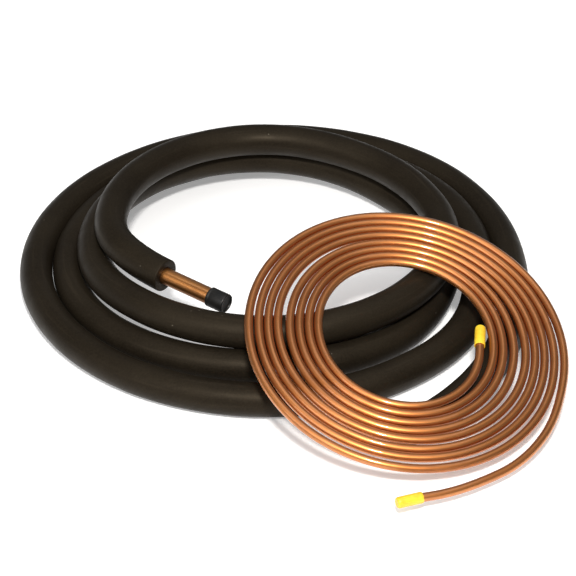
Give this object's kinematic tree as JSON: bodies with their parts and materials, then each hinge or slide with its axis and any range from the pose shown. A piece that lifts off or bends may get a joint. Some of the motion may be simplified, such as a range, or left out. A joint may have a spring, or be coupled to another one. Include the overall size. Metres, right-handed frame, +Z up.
{
  "type": "mini split line set",
  "caption": "Coiled line set for a split air conditioner: foam-sleeved copper suction line and thin bare copper liquid line, capped at the ends and lying flat.",
  "frame": {"origin": "middle of the whole footprint, at the underside of the sleeved coil, on the floor", "axes": "+Z up, +Y away from the viewer, from the bare coil towards the back of the sleeved coil, +X to the viewer's right"},
  "size_m": [0.618, 0.759, 0.1139],
  "materials": {
    "foam": "matte closed-cell foam with a smooth skin, warm near-black",
    "suction_copper": "drawn copper, slightly tarnished orange-brown; brass stands in for copper",
    "liquid_copper": "bright drawn copper; brass stands in for copper",
    "black_cap": "satin black moulded plastic",
    "yellow_cap": "soft semi-gloss yellow vinyl"
  },
  "bodies": {
    "root": {"suction_insulation": "foam", "suction_tube": "suction_copper", "suction_cap_inner": "black_cap", "suction_cap_outer": "black_cap", "liquid_tube": "liquid_copper", "liquid_cap_inner": "yellow_cap", "liquid_cap_outer": "yellow_cap"}
  },
  "joints": []
}
